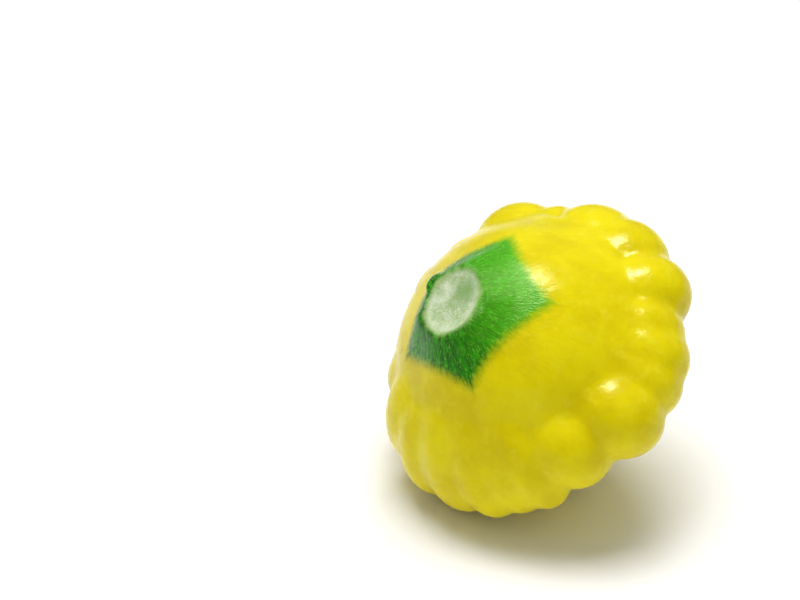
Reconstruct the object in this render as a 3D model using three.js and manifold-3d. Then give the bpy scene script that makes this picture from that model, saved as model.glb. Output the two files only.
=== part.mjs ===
// A pattypan squash, picked young and cut from its stem. Millimetres, +Z up.
// It grew as one solid: a cone-shaped flank on the stem side, knuckle-like lobes round the rim
// and a deep round blossom end. It lies tilted, on two lobes of the rim and on its blossom end.

import * as THREE from 'three';
import Module from 'manifold-3d';

// Driving sizes. Heights are along the fruit's own axis, up towards the stem, from the rim.
const FLANK_APEX = 33;
const FLANK_REACH = 35.5;
const FLANK_SWELL = 2.2;
const FLANK_SWELL_REACH = 20.5;
const FLANK_SWELL_WIDTH = 9;
const WAIST_RADIUS = 31.5;
const WAIST_DEPTH = 22;
const SCAR_RADIUS = 8;
const SCAR_HEIGHT = 26.3;
const SCAR_DISH = 0.7;
const SCAR_LIP = 0.35;
// Shares of the scar's radius
const SCAR_LIP_PLACE = 0.92;
const SCAR_LIP_WIDTH = 0.12;
const STEM_ANGLES = 5;
const STEM_RIB = 0.45;
const STEM_RIB_TURN = 50;
const STEM_RIB_REACH = 17;

// The blossom end sags a little to the side that the fruit lies on.
const BLOSSOM_RADIUS = 24;
const BLOSSOM_DEPTH = 38;
const BLOSSOM_SAG = 6;
const BLOSSOM_MARK_RADIUS = 3;
const BLOSSOM_MARK_DEPTH = 0.8;

// A lobe is an egg that leans in towards the stem.
const LOBE_DEPTH = 12;
const LOBE_HALF_LENGTH = 13;
const LOBE_LEAN = 34;
const LOBE_FULLNESS = 1.15;

// How softly the forms run into each other
const CREASE_SOFTNESS = 1.6;
const SHOULDER_SOFTNESS = 4.5;
const WAIST_SOFTNESS = 6;
const BLOSSOM_SOFTNESS = 12;
const LIP_SOFTNESS = 1;

// How the fruit lies: its axis leans from upright, and points to the left and to the front.
const AXIS_LEAN = 46;
const AXIS_HEADING = 219;
const REST_FLAT_DEPTH = 0.4;

// The skin is drawn as rings round a middle that is as low as the lobes.
const MIDDLE_DROP = 6;
const START_RADIUS = 52;
const WALK_STEPS = 40;
const WALK_SHARE = 0.85;
const FAR_OFF = 1000;
// On the axis itself the way out has no direction, so a point is taken this far from it.
const OFF_AXIS = 0.01;
const RING_POINTS = 96;
const SCAR_RINGS = 7;
const SCAR_RINGS_REACH = 1.15;
const SKIN_RINGS = 44;

// Angles run round the axis, from the lowest side of the rim as the fruit lies.
// Reach is from the axis to the lobe's outermost point, and drop is how far it hangs below the rim.
const LOBES = [
  { angle: 9, halfWidth: 17.5, reach: 40, drop: 5.5 },
  { angle: 34, halfWidth: 26, reach: 38, drop: 5 },
  { angle: 65, halfWidth: 16.5, reach: 38, drop: 3.5 },
  { angle: 87, halfWidth: 17.5, reach: 40, drop: 6 },
  { angle: 105, halfWidth: 15.5, reach: 39.5, drop: 8 },
  { angle: 116, halfWidth: 14, reach: 38.5, drop: 8 },
  { angle: 127, halfWidth: 12.5, reach: 38, drop: 7 },
  { angle: 146, halfWidth: 15.5, reach: 40.5, drop: 8.5 },
  { angle: 166, halfWidth: 17, reach: 40, drop: 7.5 },
  { angle: 180, halfWidth: 22, reach: 39, drop: 7 },
  { angle: 202, halfWidth: 13, reach: 37, drop: 8 },
  { angle: 220, halfWidth: 18, reach: 38.5, drop: 6 },
  { angle: 246, halfWidth: 15, reach: 36, drop: 7.5 },
  { angle: 266, halfWidth: 18, reach: 37.5, drop: 7 },
  { angle: 285, halfWidth: 15, reach: 36, drop: 8 },
  { angle: 311, halfWidth: 15, reach: 37.5, drop: 7.5 },
  { angle: 333, halfWidth: 18, reach: 39, drop: 4.5 },
  { angle: 351, halfWidth: 16, reach: 40.5, drop: 7 },
];

const { abs, atan2, cos, exp, hypot, max, min, sin, tan } = Math;
const { degToRad } = THREE.MathUtils;

function softMin(a, b, softness) {
  const overlap = max(softness - abs(a - b), 0);
  return min(a, b) - (overlap * overlap) / (4 * softness);
}

function softMax(a, b, softness) {
  return -softMin(-a, -b, softness);
}

// About how far a point is outside an egg-shaped form, and less than zero inside it
function eggDistance(parts, halfSizes) {
  const nearness = hypot(...parts.map((part, i) => part / halfSizes[i]));
  const steepness = hypot(...parts.map((part, i) => part / halfSizes[i] ** 2)) + 1e-9;
  return (nearness * (nearness - 1)) / steepness;
}

// The lobe's own three directions and half sizes, worked out once for each lobe
function makeLobe({ angle, halfWidth, reach, drop }) {
  const turn = degToRad(angle);
  const lean = degToRad(LOBE_LEAN);
  const middle = reach - LOBE_DEPTH;
  const out = new THREE.Vector3(cos(turn), sin(turn), 0);
  const up = new THREE.Vector3(0, 0, 1);
  return {
    centre: out.clone().multiplyScalar(middle).addScaledVector(up, -drop),
    outward: out.clone().multiplyScalar(cos(lean)).addScaledVector(up, sin(lean)),
    sideways: new THREE.Vector3(-sin(turn), cos(turn), 0),
    lengthways: up.clone().multiplyScalar(cos(lean)).addScaledVector(out, -sin(lean)),
    halfSizes: [LOBE_DEPTH, middle * tan(degToRad(halfWidth)) * LOBE_FULLNESS, LOBE_HALF_LENGTH],
  };
}

const lobes = LOBES.map(makeLobe);

function lobeDistance(point, lobe) {
  const offset = point.clone().sub(lobe.centre);
  const parts = [offset.dot(lobe.outward), offset.dot(lobe.sideways), offset.dot(lobe.lengthways)];
  return eggDistance(parts, lobe.halfSizes);
}

// The flank is domed a little round the stem and hollow before it meets the lobes.
function flankSwell(fromAxis) {
  return FLANK_SWELL * exp(-(((fromAxis - FLANK_SWELL_REACH) / FLANK_SWELL_WIDTH) ** 2));
}

// The trunk is a cone on the stem side that turns softly into a flat bowl below the rim.
function trunkDistance(fromAxis, height) {
  const tip = FLANK_APEX * FLANK_REACH;
  const cone = (fromAxis * FLANK_APEX + height * FLANK_REACH - tip) / hypot(FLANK_APEX, FLANK_REACH);
  const offAxis = max(fromAxis, OFF_AXIS);
  const bowl = eggDistance([offAxis, min(height, 0)], [WAIST_RADIUS, WAIST_DEPTH]);
  return softMax(cone - flankSwell(fromAxis), bowl, WAIST_SOFTNESS);
}

function blossomDistance(point) {
  const centreHeight = BLOSSOM_RADIUS - BLOSSOM_DEPTH;
  return hypot(point.x - BLOSSOM_SAG, point.y, point.z - centreHeight) - BLOSSOM_RADIUS;
}

// Five low ribs run out from the angles of the stem and fade into the flank.
function stemRib(point, fromAxis) {
  const turn = atan2(point.y, point.x) - degToRad(STEM_RIB_TURN);
  const ridge = (0.5 + 0.5 * cos(STEM_ANGLES * turn)) ** 3;
  return STEM_RIB * ridge * exp(-((fromAxis / STEM_RIB_REACH) ** 4));
}

// The cut face of the stem is a shallow dish with a raised lip.
function scarHeight(fromAxis) {
  const share = fromAxis / SCAR_RADIUS;
  const lip = SCAR_LIP * exp(-(((share - SCAR_LIP_PLACE) / SCAR_LIP_WIDTH) ** 2));
  return SCAR_HEIGHT - SCAR_DISH * max(1 - share ** 2, 0) + lip;
}

function blossomMark(point) {
  const fromMark = hypot(point.x - BLOSSOM_SAG, point.y);
  return BLOSSOM_MARK_DEPTH * exp(-((fromMark / BLOSSOM_MARK_RADIUS) ** 2));
}

// About how far a point is outside the skin of the whole fruit
function skinDistance(point) {
  const fromAxis = hypot(point.x, point.y);
  const rim = lobes.reduce(
    (near, lobe) => softMin(near, lobeDistance(point, lobe), CREASE_SOFTNESS),
    FAR_OFF,
  );
  const body = softMin(trunkDistance(fromAxis, point.z), blossomDistance(point), BLOSSOM_SOFTNESS);
  const fruit = softMin(rim, body, SHOULDER_SOFTNESS);
  if (point.z < 0) {
    return fruit + blossomMark(point);
  }
  return softMax(fruit - stemRib(point, fromAxis), point.z - scarHeight(fromAxis), LIP_SOFTNESS);
}

// Walks in along a ray from outside until it meets the skin
function pointOnSkin(polar, turn) {
  const direction = new THREE.Vector3(sin(polar) * cos(turn), sin(polar) * sin(turn), cos(polar));
  const middle = new THREE.Vector3(0, 0, -MIDDLE_DROP);
  let radius = START_RADIUS;
  for (let step = 0; step < WALK_STEPS; step += 1) {
    radius -= WALK_SHARE * skinDistance(direction.clone().multiplyScalar(radius).add(middle));
  }
  return direction.multiplyScalar(radius).add(middle);
}

// Rings are closer together on the cut face than on the skin.
function ringAngles() {
  const scarEdge = SCAR_RINGS_REACH * atan2(SCAR_RADIUS, scarHeight(SCAR_RADIUS) + MIDDLE_DROP);
  const scar = Array.from({ length: SCAR_RINGS }, (_, i) => (scarEdge * (i + 1)) / SCAR_RINGS);
  const skin = Array.from({ length: SKIN_RINGS - 1 }, (_, i) => (
    scarEdge + ((Math.PI - scarEdge) * (i + 1)) / SKIN_RINGS
  ));
  return [...scar, ...skin];
}

function skinGeometry() {
  const positions = [...pointOnSkin(0, 0)];
  const rings = ringAngles();
  for (const polar of rings) {
    for (let i = 0; i < RING_POINTS; i += 1) {
      positions.push(...pointOnSkin(polar, (2 * Math.PI * i) / RING_POINTS));
    }
  }
  positions.push(...pointOnSkin(Math.PI, 0));

  const stemEnd = 0;
  const blossomEnd = rings.length * RING_POINTS + 1;
  const at = (ring, i) => 1 + ring * RING_POINTS + (i % RING_POINTS);
  const triangles = [];
  for (let i = 0; i < RING_POINTS; i += 1) {
    triangles.push(stemEnd, at(0, i), at(0, i + 1));
    for (let ring = 0; ring < rings.length - 1; ring += 1) {
      triangles.push(at(ring, i), at(ring + 1, i), at(ring + 1, i + 1));
      triangles.push(at(ring, i), at(ring + 1, i + 1), at(ring, i + 1));
    }
    triangles.push(at(rings.length - 1, i), blossomEnd, at(rings.length - 1, i + 1));
  }

  const geometry = new THREE.BufferGeometry();
  geometry.setAttribute('position', new THREE.Float32BufferAttribute(positions, 3));
  geometry.setIndex(triangles);
  return geometry;
}

// Turns the fruit into the way it lies and sets it down a little low, ready for its flat spots.
function layDown(geometry) {
  geometry.rotateY(degToRad(AXIS_LEAN));
  geometry.rotateZ(degToRad(AXIS_HEADING));
  geometry.computeBoundingBox();
  const box = geometry.boundingBox;
  const middle = box.getCenter(new THREE.Vector3());
  geometry.translate(-middle.x, -middle.y, -box.min.z - REST_FLAT_DEPTH);
  return geometry;
}

// The soft fruit is pressed flat by its weight where it touches: what is below the surface is cut off.
async function pressFlat(geometry) {
  const wasm = await Module();
  wasm.setup();
  const solid = new wasm.Manifold(new wasm.Mesh({
    numProp: 3,
    vertProperties: Float32Array.from(geometry.attributes.position.array),
    triVerts: Uint32Array.from(geometry.index.array),
  }));
  const pressed = solid.trimByPlane([0, 0, 1], 0).getMesh();
  const result = new THREE.BufferGeometry();
  result.setAttribute('position', new THREE.Float32BufferAttribute(pressed.vertProperties, 3));
  result.setIndex([...pressed.triVerts]);
  result.computeVertexNormals();
  return result;
}

const skin = new THREE.MeshStandardMaterial({ color: 0xe6d61e, roughness: 0.35, metalness: 0 });
const squash = new THREE.Mesh(await pressFlat(layDown(skinGeometry())), skin);
squash.name = 'pattypan_squash';

const part = new THREE.Group();
part.add(squash);

export default part;
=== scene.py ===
import math

import bpy
from mathutils import Euler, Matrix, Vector


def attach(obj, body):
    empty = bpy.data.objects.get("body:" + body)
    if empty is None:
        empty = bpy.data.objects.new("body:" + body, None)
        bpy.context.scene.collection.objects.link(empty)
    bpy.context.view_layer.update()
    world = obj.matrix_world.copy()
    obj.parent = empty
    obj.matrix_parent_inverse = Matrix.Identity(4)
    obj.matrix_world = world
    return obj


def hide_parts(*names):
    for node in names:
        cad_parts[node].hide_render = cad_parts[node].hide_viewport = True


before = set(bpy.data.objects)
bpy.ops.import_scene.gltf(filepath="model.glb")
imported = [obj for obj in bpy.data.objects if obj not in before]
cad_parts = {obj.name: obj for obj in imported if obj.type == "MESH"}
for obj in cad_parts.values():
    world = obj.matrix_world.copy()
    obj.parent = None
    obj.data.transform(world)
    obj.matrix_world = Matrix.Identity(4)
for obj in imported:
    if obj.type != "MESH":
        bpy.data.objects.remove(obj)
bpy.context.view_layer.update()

# A young pattypan squash, lying on its blossom end and one lobe of its rim. Metres, in the
# part's own frame.

MM = 0.001

# The flank is the cone between the rim and the stem. Heights are along the fruit's own axis,
# up towards the stem, from the middle of its rim. Reaches are outward from that axis.
FLANK_APEX = 34.8 * MM
FLANK_REACH = 33.9 * MM
FLANK_SWELL = 2.5 * MM
FLANK_SWELL_REACH = 23 * MM
FLANK_SWELL_WIDTH = 6.5 * MM
FLANK_SHIFT = 1.7 * MM
FLANK_SHIFT_REACH = 17 * MM
FLANK_SHIFT_WIDTH = 8 * MM
FLANK_SHIFT_ANGLE = math.radians(85)
FLANK_RINGS = 24
FLANK_TOP_RADIUS = 4.5 * MM
WAIST_RADIUS = 31.5 * MM
WAIST_DEPTH = 22 * MM

# The scar is the stem's cut face, a shallow oval dish with a low lip, and painted shade, a
# darker green patch, in its hollow.
SCAR_RADIUS = 8 * MM
SCAR_HEIGHT = 26.3 * MM
SCAR_DISH = 0.9 * MM
SCAR_STRETCH = 0.1
SCAR_STRETCH_REACH = 14 * MM
SCAR_LIP = 0.4 * MM
SCAR_SHADE_REACH = 3.5 * MM
SCAR_SHADE_ANGLE = math.radians(165)

# The round blossom end hangs under the rim and sags to the low side.
BLOSSOM_RADIUS = 24 * MM
BLOSSOM_DEPTH = 38 * MM
BLOSSOM_SAG = 6 * MM

# A lobe is an egg that leans in towards the stem: half depth, half length and lean.
# Most are short knuckles. Two on the near right are ridges, a little longer and more leaning,
# and those on the low side are long folds that melt into the flank.
KNUCKLE = (10 * MM, 11 * MM, math.radians(30))
RIDGE = (10.5 * MM, 11.5 * MM, math.radians(34))
FOLD = (11.5 * MM, 18 * MM, math.radians(46))
LOBE_FULLNESS = 1.15

# Angle round the axis and half width, both in degrees, reach from the axis and drop below
# the rim's middle, both in mm, and the form
LOBES = [
    (8, 21.5, 39.4, 0, FOLD),
    (23, 18, 38.9, -0.1, FOLD),
    (34, 21, 37.8, -0.1, FOLD),
    (45, 18, 37.9, 0.1, FOLD),
    (64, 17, 38, 3.2, RIDGE),
    (88, 16, 40.4, 5.5, RIDGE),
    (105, 14.5, 39.1, 7.8, KNUCKLE),
    (116, 15, 39.2, 7.8, KNUCKLE),
    (127, 13.5, 37.9, 7, KNUCKLE),
    (145, 15, 40.6, 8.4, KNUCKLE),
    (166, 17, 40.4, 8.3, KNUCKLE),
    (183, 19, 39.6, 8, KNUCKLE),
    (203, 10.5, 37.7, 8, KNUCKLE),
    (221.5, 18.5, 39, 5.8, KNUCKLE),
    (247, 16, 37.6, 7.2, KNUCKLE),
    (266, 18, 38.2, 7, KNUCKLE),
    (285, 15, 37.3, 7.5, KNUCKLE),
    (311, 17, 37.8, 3, FOLD),
    (336, 20, 39.1, 0.2, FOLD),
    (351, 18, 40.3, 1.0, FOLD),
]

# The green cap is a five-cornered patch round the stem: each corner's angle in degrees and
# distance from the axis in mm. A low rib runs out to each, its middle partway along.
CAP_CORNERS = [
    (40, 17.8),
    (124, 20),
    (194, 20.4),
    (260, 15.5),
    (324, 19.1),
]
RIB_MIDDLE_SHARE = 0.55
RIB_HALF_SIZES = (11 * MM, 2.6 * MM, 0.8 * MM)

# A broad pad beside the stem, on the side that catches the light: half sizes down the slope,
# across it and outward, then its slope, angle round the axis, reach and height
PAD_HALF_SIZES = (14 * MM, 12 * MM, 6 * MM)
PAD_SLOPE = math.radians(33)
PAD_ANGLE = math.radians(139)
PAD_REACH = 13.9 * MM
PAD_HEIGHT = 14.8 * MM

# How the fruit lies in the part's frame: its axis leans from upright, then turns to one side.
RIM_MIDDLE = Vector((-5.11, -1.9, 37.63)) * MM
AXIS_LEAN = math.radians(46)
AXIS_HEADING = math.radians(219)
AXIS_TURN = Euler((0, AXIS_LEAN, AXIS_HEADING))

# Segments and rings of each rounded form, and segments round and across the lip
BODY_STEPS = (96, 48)
LOBE_STEPS = (48, 32)
PAD_STEPS = (64, 48)
RIB_STEPS = (32, 16)
SCAR_STEPS = (192, 96)
LIP_STEPS = (96, 16)

# Smoothing pulls the blossom end and the lobes in by about this much, so they start larger.
SMOOTHING_LOSS = 0.3 * MM
SMOOTHING_PULL = 0.5
BODY_VOXEL = 0.55 * MM
BODY_SMOOTHING = 32
SKIN_VOXEL = 0.49 * MM
SKIN_SMOOTHING = 4
BISECT_PRECISION = 1e-6

# The photograph's view: where the rim's middle is seen in it, and how large
PHOTO_WIDTH = 800
PHOTO_HEIGHT = 600
RIM_PIXEL_X = 514
RIM_PIXEL_Y = 344.4
PIXELS_PER_MM = 4.36
CAMERA_DISTANCE = 400 * MM
CAMERA_NEAREST = 10 * MM
CAMERA_DIP = math.radians(30)
SENSOR_WIDTH = 36

# Light and floor. The room's light grows from the horizon up to a direction of this height.
ROOM_COLOUR = (1, 1, 1, 1)
ROOM_AT_HORIZON = 0.1
ROOM_OVERHEAD = 0.4
ROOM_FULL_HEIGHT = 0.6
CEILING_LIGHT_TOWARDS = (-0.04, 0.1, 0.99)
CEILING_LIGHT_DISTANCE = 1.6
CEILING_LIGHT_SIZE = (1.1, 0.8)
CEILING_LIGHT_POWER = 22
WINDOW_SIZE = (0.65, 0.46)
WINDOW_POWER = 70
FLOOR_SIZE = 6
FLOOR_ROUGHNESS = 0.7


# Modelling steps

def deselect_all():
    bpy.ops.object.select_all(action="DESELECT")


def pick_out(*pieces):
    deselect_all()
    for piece in pieces:
        piece.select_set(True)
    bpy.context.view_layer.objects.active = pieces[0]


def added(name):
    piece = bpy.context.object
    piece.name = name
    return piece


def add_ball(name, steps, radius=1, **place):
    deselect_all()
    bpy.ops.mesh.primitive_uv_sphere_add(
        segments=steps[0], ring_count=steps[1], radius=radius, **place)
    return added(name)


def remove(piece):
    pick_out(piece)
    bpy.ops.object.delete()


def apply_place(piece):
    pick_out(piece)
    bpy.ops.object.transform_apply(location=True, rotation=True, scale=True)


def apply_modifier(piece, kind, **settings):
    pick_out(piece)
    modifier = piece.modifiers.new(kind.title(), kind)
    for key, value in settings.items():
        setattr(modifier, key, value)
    bpy.ops.object.modifier_apply(modifier=modifier.name)


def melt(piece, voxel, smoothing):
    """Makes one skin of the forms that a piece is joined from, and smooths it."""
    apply_modifier(piece, "REMESH", mode="VOXEL", voxel_size=voxel)
    apply_modifier(piece, "SMOOTH", factor=SMOOTHING_PULL, iterations=smoothing)


def joined(name, pieces):
    pick_out(*pieces)
    bpy.ops.object.join()
    return added(name)


def pick_top_face(piece):
    """Selects the flat face that is furthest up the axis, in edit mode."""
    bpy.ops.mesh.select_all(action="DESELECT")
    bpy.ops.object.mode_set(mode="OBJECT")
    highest = max(piece.data.polygons, key=lambda face: face.center.z)
    highest.select = True
    bpy.ops.object.mode_set(mode="EDIT")


# The fruit's forms, upright, with the rim's middle at the origin

def flank_height(radius):
    """The flank is a cone that swells a little before the lobes."""
    swell = math.exp(-((radius - FLANK_SWELL_REACH) / FLANK_SWELL_WIDTH) ** 2)
    return FLANK_APEX * (1 - radius / FLANK_REACH) + FLANK_SWELL * swell


def flank_shift(radius):
    """Halfway up, the flank is fuller on the near right and steeper on the far side."""
    return FLANK_SHIFT * math.exp(-((radius - FLANK_SHIFT_REACH) / FLANK_SHIFT_WIDTH) ** 2)


def stem_stretch(radius):
    """Near the stem the fruit is a little oval."""
    return 1 + SCAR_STRETCH * math.exp(-(radius / SCAR_STRETCH_REACH) ** 4)


def draw_up_ring(radius, next_radius):
    """Draws the selected top face up the flank and aside, and narrows it."""
    rise = flank_height(next_radius) - flank_height(radius)
    aside = flank_shift(next_radius) - flank_shift(radius)
    step = (aside * math.cos(FLANK_SHIFT_ANGLE), aside * math.sin(FLANK_SHIFT_ANGLE), rise)
    bpy.ops.mesh.extrude_region_move(TRANSFORM_OT_translate={"value": step})
    shrink = next_radius / radius
    stretch = stem_stretch(next_radius) / stem_stretch(radius)
    bpy.ops.transform.resize(value=(shrink * stretch, shrink / stretch, 1))


def add_trunk():
    """A bowl under the rim, cut level and drawn up ring by ring into the flank."""
    trunk = add_ball("trunk", BODY_STEPS)
    trunk.scale = (WAIST_RADIUS, WAIST_RADIUS, WAIST_DEPTH)
    apply_place(trunk)

    bpy.ops.object.mode_set(mode="EDIT")
    bpy.ops.mesh.select_all(action="SELECT")
    bpy.ops.mesh.bisect(plane_co=(0, 0, 0), plane_no=(0, 0, 1), use_fill=True, clear_outer=True)
    bpy.ops.mesh.select_mode(type="FACE")
    pick_top_face(trunk)
    radius = WAIST_RADIUS
    foot = (0, 0, flank_height(radius))
    bpy.ops.mesh.extrude_region_move(TRANSFORM_OT_translate={"value": foot})
    for ring in range(1, FLANK_RINGS + 1):
        next_radius = WAIST_RADIUS + (FLANK_TOP_RADIUS - WAIST_RADIUS) * ring / FLANK_RINGS
        draw_up_ring(radius, next_radius)
        radius = next_radius
    bpy.ops.object.mode_set(mode="OBJECT")
    return trunk


def add_blossom_end():
    middle = (BLOSSOM_SAG, 0, BLOSSOM_RADIUS - BLOSSOM_DEPTH)
    return add_ball("blossom_end", BODY_STEPS, BLOSSOM_RADIUS + SMOOTHING_LOSS, location=middle)


def add_lobes():
    """One egg is made once, and each lobe is a copy of it with its own size, lean and place."""
    egg = add_ball("lobe", LOBE_STEPS)
    lobes = []
    for angle, half_width, reach, drop, (half_depth, half_length, lean) in LOBES:
        pick_out(egg)
        bpy.ops.object.duplicate()
        lobe = bpy.context.object
        turn = math.radians(angle)
        outward = math.hypot(half_depth * math.cos(lean), half_length * math.sin(lean))
        middle = reach * MM - outward
        half_across = middle * math.tan(math.radians(half_width)) * LOBE_FULLNESS
        half_sizes = Vector((half_depth, half_across, half_length))
        lobe.scale = half_sizes + Vector((SMOOTHING_LOSS,) * 3)
        lobe.rotation_euler = (0, -lean, turn)
        lobe.location = (middle * math.cos(turn), middle * math.sin(turn), -drop * MM)
        lobes.append(lobe)
    remove(egg)
    return lobes


def add_pad():
    middle = (PAD_REACH * math.cos(PAD_ANGLE), PAD_REACH * math.sin(PAD_ANGLE), PAD_HEIGHT)
    return add_ball("pad", PAD_STEPS, location=middle, rotation=(0, PAD_SLOPE, PAD_ANGLE),
                    scale=PAD_HALF_SIZES)


def add_stem_ribs():
    """Low ribs run down the flank from the stem to the corners of the cap."""
    slope = math.atan2(FLANK_APEX, FLANK_REACH)
    ribs = []
    for angle, reach in CAP_CORNERS:
        out = RIB_MIDDLE_SHARE * reach * MM
        turn = math.radians(angle)
        middle = (out * math.cos(turn), out * math.sin(turn), flank_height(out))
        ribs.append(add_ball("rib", RIB_STEPS, location=middle, rotation=(0, slope, turn),
                             scale=RIB_HALF_SIZES))
    return ribs


def cut_scar(fruit):
    """The stem's cut face is a shallow dish: a large ball takes the tip off."""
    ball_radius = SCAR_RADIUS ** 2 / (2 * SCAR_DISH)
    ball_height = SCAR_HEIGHT + ball_radius - SCAR_DISH
    ball = add_ball("ball", SCAR_STEPS, ball_radius, location=(0, 0, ball_height))
    apply_modifier(fruit, "BOOLEAN", operation="DIFFERENCE", solver="EXACT", object=ball)
    remove(ball)


def add_scar_lip():
    """A ring sunk into the dish's edge, so that only a low lip stands out."""
    deselect_all()
    bpy.ops.mesh.primitive_torus_add(
        major_segments=LIP_STEPS[0], minor_segments=LIP_STEPS[1],
        major_radius=SCAR_RADIUS - SCAR_LIP, minor_radius=2 * SCAR_LIP,
        location=(0, 0, SCAR_HEIGHT - SCAR_LIP))
    lip = added("lip")
    lip.scale = (1 + SCAR_STRETCH, 1 / (1 + SCAR_STRETCH), 1)
    apply_place(lip)
    return lip


def press_flat(fruit):
    """The skin is pressed flat where the fruit's weight rests on the surface."""
    pick_out(fruit)
    bpy.ops.object.mode_set(mode="EDIT")
    bpy.ops.mesh.select_all(action="SELECT")
    bpy.ops.mesh.bisect(
        plane_co=(0, 0, 0), plane_no=(0, 0, 1), use_fill=True, clear_inner=True,
        threshold=BISECT_PRECISION)
    bpy.ops.mesh.select_all(action="SELECT")
    bpy.ops.mesh.normals_make_consistent(inside=False)
    bpy.ops.object.mode_set(mode="OBJECT")


def make_fruit():
    forms = [add_trunk(), add_blossom_end(), add_pad()] + add_lobes() + add_stem_ribs()
    fruit = joined("fruit", forms)
    apply_place(fruit)
    melt(fruit, BODY_VOXEL, BODY_SMOOTHING)
    cut_scar(fruit)
    fruit = joined("fruit", [fruit, add_scar_lip()])
    melt(fruit, SKIN_VOXEL, SKIN_SMOOTHING)
    fruit.rotation_euler = AXIS_TURN
    fruit.location = RIM_MIDDLE
    apply_place(fruit)
    press_flat(fruit)
    pick_out(fruit)
    bpy.ops.object.shade_smooth()
    return fruit


# How materials are written

class Sum:
    """A number inside a material: maths on it adds Math nodes."""

    def __init__(self, tree, socket):
        self.tree = tree
        self.socket = socket

    def maths(self, operation, *others):
        math_node = self.tree.nodes.new("ShaderNodeMath")
        math_node.operation = operation
        for slot, value in zip(math_node.inputs, others):
            feed(self.tree, slot, value)
        return Sum(self.tree, math_node.outputs[0])

    def __add__(self, other):
        return self.maths("ADD", self, other)

    def __radd__(self, other):
        return self.maths("ADD", other, self)

    def __sub__(self, other):
        return self.maths("SUBTRACT", self, other)

    def __rsub__(self, other):
        return self.maths("SUBTRACT", other, self)

    def __mul__(self, other):
        return self.maths("MULTIPLY", self, other)

    def __rmul__(self, other):
        return self.maths("MULTIPLY", other, self)

    def __truediv__(self, other):
        return self.maths("DIVIDE", self, other)

    def __rtruediv__(self, other):
        return self.maths("DIVIDE", other, self)

    def __pow__(self, other):
        return self.maths("POWER", self, other)

    def __rpow__(self, other):
        return self.maths("POWER", other, self)

    def __neg__(self):
        return self.maths("MULTIPLY", self, -1)

    def larger(self, other):
        return self.maths("MAXIMUM", self, other)

    def swing(self, size):
        """For noise, which is a half on average: how far it strays from that, times a size."""
        return (self - 0.5) * size

    def ramp(self, start, end):
        """0 at the start, 1 at the end and soft at both."""
        node = self.tree.nodes.new("ShaderNodeMapRange")
        node.interpolation_type = "SMOOTHSTEP"
        feed(self.tree, node.inputs["Value"], self)
        feed(self.tree, node.inputs["From Min"], start)
        feed(self.tree, node.inputs["From Max"], end)
        return Sum(self.tree, node.outputs["Result"])


def feed(tree, slot, value):
    """Links a value to a socket, or sets the socket to it if it is a plain number or vector."""
    if isinstance(value, Sum):
        tree.links.new(value.socket, slot)
    elif isinstance(value, bpy.types.NodeSocket):
        tree.links.new(value, slot)
    else:
        slot.default_value = value


class Finish:
    """A material whose nodes are added by name."""

    def __init__(self, name):
        self.material = bpy.data.materials.new(name)
        self.material.use_nodes = True
        self.tree = self.material.node_tree
        self.tree.nodes.clear()

    def node(self, kind, settings=None, **sockets):
        new = self.tree.nodes.new(kind)
        for key, value in (settings or {}).items():
            setattr(new, key, value)
        for key, value in sockets.items():
            feed(self.tree, new.inputs[key.replace("_", " ")], value)
        return new

    def number(self, socket):
        return Sum(self.tree, socket)

    def vector(self, x, y, z):
        return self.node("ShaderNodeCombineXYZ", X=x, Y=y, Z=z).outputs["Vector"]

    def noise(self, place, pattern):
        scale, detail, roughness = pattern
        node = self.node("ShaderNodeTexNoise", Vector=place, Scale=scale, Detail=detail,
                         Roughness=roughness)
        return self.number(node.outputs["Fac"])

    def mix(self, share, first, second):
        mix = self.tree.nodes.new("ShaderNodeMix")
        mix.data_type = "RGBA"
        feed(self.tree, mix.inputs[0], share)
        feed(self.tree, mix.inputs[6], first)
        feed(self.tree, mix.inputs[7], second)
        return mix.outputs[2]

    def surface(self, **sockets):
        """Gives the material a shader that takes these values, and returns the material."""
        shader = self.node("ShaderNodeBsdfPrincipled", **sockets)
        self.node("ShaderNodeOutputMaterial", Surface=shader.outputs["BSDF"])
        return self.material


def colour(red, green, blue):
    """A colour as it looks on a screen, 0 to 255, as the light values that the material takes."""
    def light(value):
        share = value / 255
        return share / 12.92 if share <= 0.04045 else ((share + 0.055) / 1.055) ** 2.4
    return (light(red), light(green), light(blue), 1)


def spread(x, y):
    """How far a place on a plane is from the middle."""
    return (x * x + y * y) ** 0.5


# Colours of the skin, the cap, the blossom's mark, the scar and the floor
DEEP_YELLOW = colour(224, 204, 2)
YELLOW = colour(242, 226, 6)
DAPPLE_YELLOW = colour(252, 240, 60)
RIPPLE_YELLOW = colour(252, 242, 80)
DEEP_GREEN = colour(2, 92, 0)
GREEN = colour(34, 158, 0)
# Painted highlight: a lighter green for the side of the cap where light falls.
LIT_SIDE_GREEN = colour(104, 210, 34)
# Pale fibre streaks on the cap: partly the cap's own fibres, partly painted sheen.
FIBRE_AND_SHEEN_GREEN = colour(156, 232, 80)
WITHERED_BROWN = colour(176, 150, 92)
SCAR_DULL = colour(180, 208, 144)
SCAR_PALE = colour(226, 240, 206)
SCAR_GRAIN_PALE = colour(250, 252, 240)
# Painted shade: a darker green for the hollow of the scar.
SCAR_SHADE_GREEN = colour(140, 184, 104)
SCAR_RIM_GREEN = colour(200, 226, 140)
FLOOR_WHITE = colour(250, 250, 250)

# Noise patterns: fineness, number of finer layers and their strength
FIBRES = (1000, 3, 0.7)
BROAD_FIBRES = (300, 2, 0.6)
RIPPLES = (480, 3, 0.6)
PATCHES = (70, 4, 0.6)
DAPPLES = (330, 3, 0.6)
DENTS = (150, 2, 0.5)
GRAIN = (1400, 4, 0.7)
CLOUDS = (260, 3, 0.6)

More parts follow.
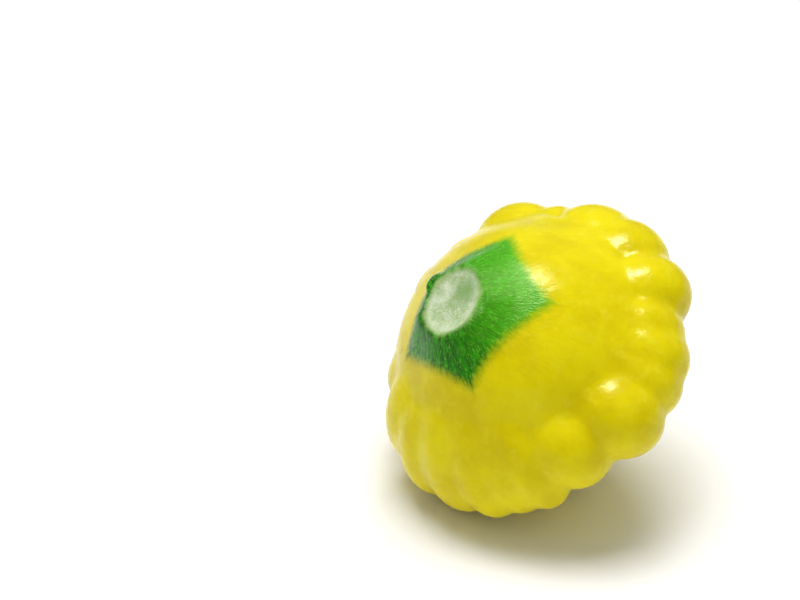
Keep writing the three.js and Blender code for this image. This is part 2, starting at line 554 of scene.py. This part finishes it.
# Fibres and ripples run out from the stem and over the rim. Round the axis they change as on
# a circle of this radius, and past the rim they go on down the side. Fibres are drawn out.
RAY_CIRCLE = 50 * MM
RAY_OVER_RIM = 0.7
RAY_START = 1e-5
FIBRE_SQUEEZE = 0.8

# Skin: where each pattern begins to show and shows in full, and how strongly
PATCH_RANGE = (0.3, 0.7)
DAPPLE_RANGE = (0.5, 0.8)
DAPPLE_SHARE = 0.35
RIPPLE_RANGE = (0.52, 0.8)
RIPPLE_SHARE = 0.2

# Cap: how far fibres fray its edge, how soft the edge is, the heights where it fades in, and
# where its tints show: a painted highlight on the side where light falls, and pale fibre
# streaks that are partly painted sheen
CAP_FRAY_BROAD = 1.2 * MM
CAP_FRAY_FINE = 1.7 * MM
CAP_EDGE_RANGE = (-1.5 * MM, 1.7 * MM)
CAP_HEIGHTS = (0, 8 * MM)
CAP_BROAD_RANGE = (0.35, 0.7)
CAP_LIT_SIDE_RANGE = (-6 * MM, 18 * MM)
CAP_LIT_SIDE_SHARE = 0.65
CAP_FIBRE_SHEEN_RANGE = (0.52, 0.7)
CAP_FIBRE_SHEEN_SHARE = 0.65

# Blossom's mark: how far fibres fray it, its edge, and the depths where it fades in
MARK_FRAY = 1.5 * MM
MARK_EDGE_RANGE = (2.2 * MM, 3.4 * MM)
MARK_DEPTHS = (20 * MM, 30 * MM)

# Scar: how far clouds move the edges of it and of the painted shade in its hollow, and where its
# tints show
SCAR_FRAY = 2.6 * MM
SCAR_EDGE_RANGE = (SCAR_RADIUS - 1.8 * MM, SCAR_RADIUS + 0.3 * MM)
SCAR_HEIGHTS = (0, 5 * MM)
SCAR_CLOUD_RANGE = (0.35, 0.7)
SCAR_GRAIN_RANGE = (0.45, 0.75)
SCAR_GRAIN_SHARE = 0.6
SCAR_SHADE_FRAY = 3 * MM
SCAR_SHADE_RANGE = (1 * MM, 5 * MM)
SCAR_SHADE_SHARE = 0.8
SCAR_RIM_RANGE = (SCAR_RADIUS - 2 * MM, SCAR_RADIUS)

# Relief: how much each pattern raises the surface, then the strength and depth of the whole
DENT_RELIEF = 1.4
DAPPLE_RELIEF = 0.8
RIPPLE_RELIEF = 0.8
FIBRE_RELIEF = 0.2
CAP_FIBRE_RELIEF = 0.9
GRAIN_RELIEF = 2.5
RELIEF_STRENGTH = 0.65
RELIEF_DEPTH = 0.25 * MM

# Gloss, and how light goes into the flesh
SKIN_ROUGHNESS = 0.22
DAPPLE_ROUGHNESS = 0.2
SCAR_ROUGHNESS = 0.4
SKIN_IOR = 1.24
SKIN_GLOSS_TINT = (1.0, 0.96, 0.6, 1.0)
FLESH_GLOW = 0.15
FLESH_GLOW_COLOUR = (1.0, 0.7, 0.15)
FLESH_GLOW_DEPTH = 3 * MM


# The skin of the fruit

class SkinPatterns:
    """Where a point is on the upright fruit, and the patterns there."""

    def __init__(self, finish):
        place = finish.node("ShaderNodeTexCoord").outputs["Object"]
        upright = finish.node("ShaderNodeMapping", {"vector_type": "TEXTURE"}, Vector=place,
                              Location=RIM_MIDDLE, Rotation=AXIS_TURN).outputs["Vector"]
        parts = finish.node("ShaderNodeSeparateXYZ", Vector=upright)
        self.x, self.y, self.z = (finish.number(parts.outputs[key]) for key in "XYZ")
        self.patches = finish.noise(upright, PATCHES)
        self.dapples = finish.noise(upright, DAPPLES)
        self.dents = finish.noise(upright, DENTS)
        self.grain = finish.noise(upright, GRAIN)
        self.clouds = finish.noise(upright, CLOUDS)
        self.add_rays(finish)

    def add_rays(self, finish):
        from_axis = spread(self.x, self.y)
        ray = from_axis + RAY_START
        round_x = self.x / ray * RAY_CIRCLE
        round_y = self.y / ray * RAY_CIRCLE
        along = from_axis - self.z * RAY_OVER_RIM
        fibre_place = finish.vector(round_x, round_y, along * FIBRE_SQUEEZE)
        self.fibres = finish.noise(fibre_place, FIBRES)
        self.broad_fibres = finish.noise(fibre_place, BROAD_FIBRES)
        self.ripples = finish.noise(finish.vector(round_x, round_y, along), RIPPLES)


def past_cap_sides(x, y):
    """How far a place is outside the straight-sided cap, in metres, less than zero inside."""
    corners = [
        Vector((math.cos(math.radians(angle)), math.sin(math.radians(angle)))) * reach * MM
        for angle, reach in CAP_CORNERS
    ]
    outside = None
    for corner, following in zip(corners, corners[1:] + corners[:1]):
        side = (following - corner).normalized()
        away = Vector((side.y, -side.x))
        distance = x * away.x + y * away.y - away.dot(corner)
        outside = distance if outside is None else outside.larger(distance)
    return outside


def cap_mask(skin):
    fray = skin.broad_fibres.swing(CAP_FRAY_BROAD) + skin.fibres.swing(CAP_FRAY_FINE)
    edge = past_cap_sides(skin.x, skin.y) + fray
    return (1 - edge.ramp(*CAP_EDGE_RANGE)) * skin.z.ramp(*CAP_HEIGHTS)


def mark_mask(skin):
    """The withered blossom's mark, in the middle of the blossom end."""
    reach = spread(skin.x - BLOSSOM_SAG, skin.y) + skin.fibres.swing(MARK_FRAY)
    return (1 - reach.ramp(*MARK_EDGE_RANGE)) * (-skin.z).ramp(*MARK_DEPTHS)


def scar_reach(skin):
    """The distance from the stem's middle, as if the oval scar were round."""
    return spread(skin.x / (1 + SCAR_STRETCH), skin.y * (1 + SCAR_STRETCH))


def scar_mask(skin):
    edge = scar_reach(skin) + skin.clouds.swing(SCAR_FRAY)
    return (1 - edge.ramp(*SCAR_EDGE_RANGE)) * skin.z.ramp(*SCAR_HEIGHTS)


def painted_hollow_shade_mask(skin):
    # Painted shade: a darker green patch in the scar's hollow, off to one side of its middle.
    hollow_x = skin.x - SCAR_SHADE_REACH * math.cos(SCAR_SHADE_ANGLE)
    hollow_y = skin.y - SCAR_SHADE_REACH * math.sin(SCAR_SHADE_ANGLE)
    reach = spread(hollow_x, hollow_y) + skin.clouds.swing(SCAR_SHADE_FRAY)
    return 1 - reach.ramp(*SCAR_SHADE_RANGE)


def rind_colour(finish, skin):
    yellow = finish.mix(skin.patches.ramp(*PATCH_RANGE), DEEP_YELLOW, YELLOW)
    dapples = skin.dapples.ramp(*DAPPLE_RANGE) * DAPPLE_SHARE
    yellow = finish.mix(dapples, yellow, DAPPLE_YELLOW)
    ripples = skin.ripples.ramp(*RIPPLE_RANGE) * RIPPLE_SHARE
    return finish.mix(ripples, yellow, RIPPLE_YELLOW)


def cap_colour(finish, skin):
    green = finish.mix(skin.broad_fibres.ramp(*CAP_BROAD_RANGE), DEEP_GREEN, GREEN)
    # Painted highlight: the cap is painted lighter towards the pad, on the side where light
    # falls.
    towards_pad = skin.x * math.cos(PAD_ANGLE) + skin.y * math.sin(PAD_ANGLE)
    lit_side_highlight = towards_pad.ramp(*CAP_LIT_SIDE_RANGE) * CAP_LIT_SIDE_SHARE
    green = finish.mix(lit_side_highlight, green, LIT_SIDE_GREEN)
    # Pale fibre streaks, partly the cap's own fibres and partly painted sheen.
    fibres = skin.fibres.ramp(*CAP_FIBRE_SHEEN_RANGE) * CAP_FIBRE_SHEEN_SHARE
    return finish.mix(fibres, green, FIBRE_AND_SHEEN_GREEN)


def scar_colour(finish, skin):
    pale = finish.mix(skin.clouds.ramp(*SCAR_CLOUD_RANGE), SCAR_DULL, SCAR_PALE)
    grain = skin.grain.ramp(*SCAR_GRAIN_RANGE) * SCAR_GRAIN_SHARE
    pale = finish.mix(grain, pale, SCAR_GRAIN_PALE)
    # Painted shade in the scar's hollow.
    pale = finish.mix(painted_hollow_shade_mask(skin) * SCAR_SHADE_SHARE, pale, SCAR_SHADE_GREEN)
    return finish.mix(scar_reach(skin).ramp(*SCAR_RIM_RANGE), pale, SCAR_RIM_GREEN)


def skin_relief(skin, cap, scar):
    """How far each point of the skin stands up, before the relief's own depth."""
    whole = (skin.dents * DENT_RELIEF + skin.dapples * DAPPLE_RELIEF
             + skin.ripples * RIPPLE_RELIEF)
    fibres = skin.fibres * (FIBRE_RELIEF + cap * CAP_FIBRE_RELIEF)
    return whole + fibres + scar * (skin.grain * GRAIN_RELIEF)


def make_skin():
    finish = Finish("waxy_skin")
    skin = SkinPatterns(finish)
    cap = cap_mask(skin)
    scar = scar_mask(skin)
    skin_colour = finish.mix(cap, rind_colour(finish, skin), cap_colour(finish, skin))
    skin_colour = finish.mix(mark_mask(skin), skin_colour, WITHERED_BROWN)
    skin_colour = finish.mix(scar, skin_colour, scar_colour(finish, skin))
    roughness = SKIN_ROUGHNESS + skin.dapples.swing(DAPPLE_ROUGHNESS) + scar * SCAR_ROUGHNESS
    bump = finish.node("ShaderNodeBump", Strength=RELIEF_STRENGTH, Distance=RELIEF_DEPTH,
                       Height=skin_relief(skin, cap, scar))
    return finish.surface(
        Base_Color=skin_colour, Roughness=roughness, Normal=bump.outputs["Normal"],
        IOR=SKIN_IOR, Specular_Tint=SKIN_GLOSS_TINT, Subsurface_Weight=FLESH_GLOW,
        Subsurface_Radius=FLESH_GLOW_COLOUR, Subsurface_Scale=FLESH_GLOW_DEPTH)


# The scene round the fruit

def make_floor_finish():
    return Finish("pale_floor").surface(Base_Color=FLOOR_WHITE, Roughness=FLOOR_ROUGHNESS)


def add_floor():
    deselect_all()
    bpy.ops.mesh.primitive_plane_add(size=FLOOR_SIZE)
    floor = added("floor")
    floor.data.materials.append(make_floor_finish())


def add_panel(name, size, power):
    """A panel of light overhead that faces the fruit."""
    deselect_all()
    towards = Vector(CEILING_LIGHT_TOWARDS).normalized()
    bpy.ops.object.light_add(type="AREA", location=RIM_MIDDLE + towards * CEILING_LIGHT_DISTANCE)
    panel = added(name)
    panel.data.shape = "RECTANGLE"
    panel.data.size, panel.data.size_y = size
    panel.data.energy = power
    panel.rotation_euler = towards.to_track_quat("Z", "Y").to_euler()
    return panel


def add_lights():
    """A broad soft light, and a window that shows in gloss and gives no other light."""
    add_panel("ceiling_light", CEILING_LIGHT_SIZE, CEILING_LIGHT_POWER)
    window = add_panel("window", WINDOW_SIZE, WINDOW_POWER)
    window.visible_diffuse = False


def add_surroundings():
    """A room that is pale overhead and dim towards the horizon."""
    world = bpy.data.worlds.new("pale_room")
    world.use_nodes = True
    tree = world.node_tree
    background = tree.nodes["Background"]
    background.inputs["Color"].default_value = ROOM_COLOUR
    direction = tree.nodes.new("ShaderNodeTexCoord")
    parts = tree.nodes.new("ShaderNodeSeparateXYZ")
    tree.links.new(direction.outputs["Generated"], parts.inputs["Vector"])
    overhead = Sum(tree, parts.outputs["Z"]).ramp(0, ROOM_FULL_HEIGHT)
    strength = ROOM_AT_HORIZON + overhead * (ROOM_OVERHEAD - ROOM_AT_HORIZON)
    feed(tree, background.inputs["Strength"], strength)
    bpy.context.scene.world = world


def add_camera():
    lens_pixels = PIXELS_PER_MM * CAMERA_DISTANCE / MM
    right = (RIM_PIXEL_X - PHOTO_WIDTH / 2) / lens_pixels
    above = (PHOTO_HEIGHT / 2 - RIM_PIXEL_Y) / lens_pixels
    turn = Euler((math.pi / 2 - CAMERA_DIP, 0, 0))
    offset = Vector((right, above, -1)) * CAMERA_DISTANCE
    offset.rotate(turn)
    bpy.ops.object.camera_add(location=RIM_MIDDLE - offset, rotation=turn)
    camera = added("camera")
    camera.data.sensor_width = SENSOR_WIDTH
    camera.data.lens = SENSOR_WIDTH * lens_pixels / PHOTO_WIDTH
    camera.data.clip_start = CAMERA_NEAREST
    bpy.context.scene.camera = camera


fruit = make_fruit()
fruit.data.materials.clear()
fruit.data.materials.append(make_skin())
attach(fruit, "root")
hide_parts("pattypan_squash")

add_floor()
add_surroundings()
add_lights()
add_camera()
bpy.context.scene.view_settings.view_transform = "Standard"
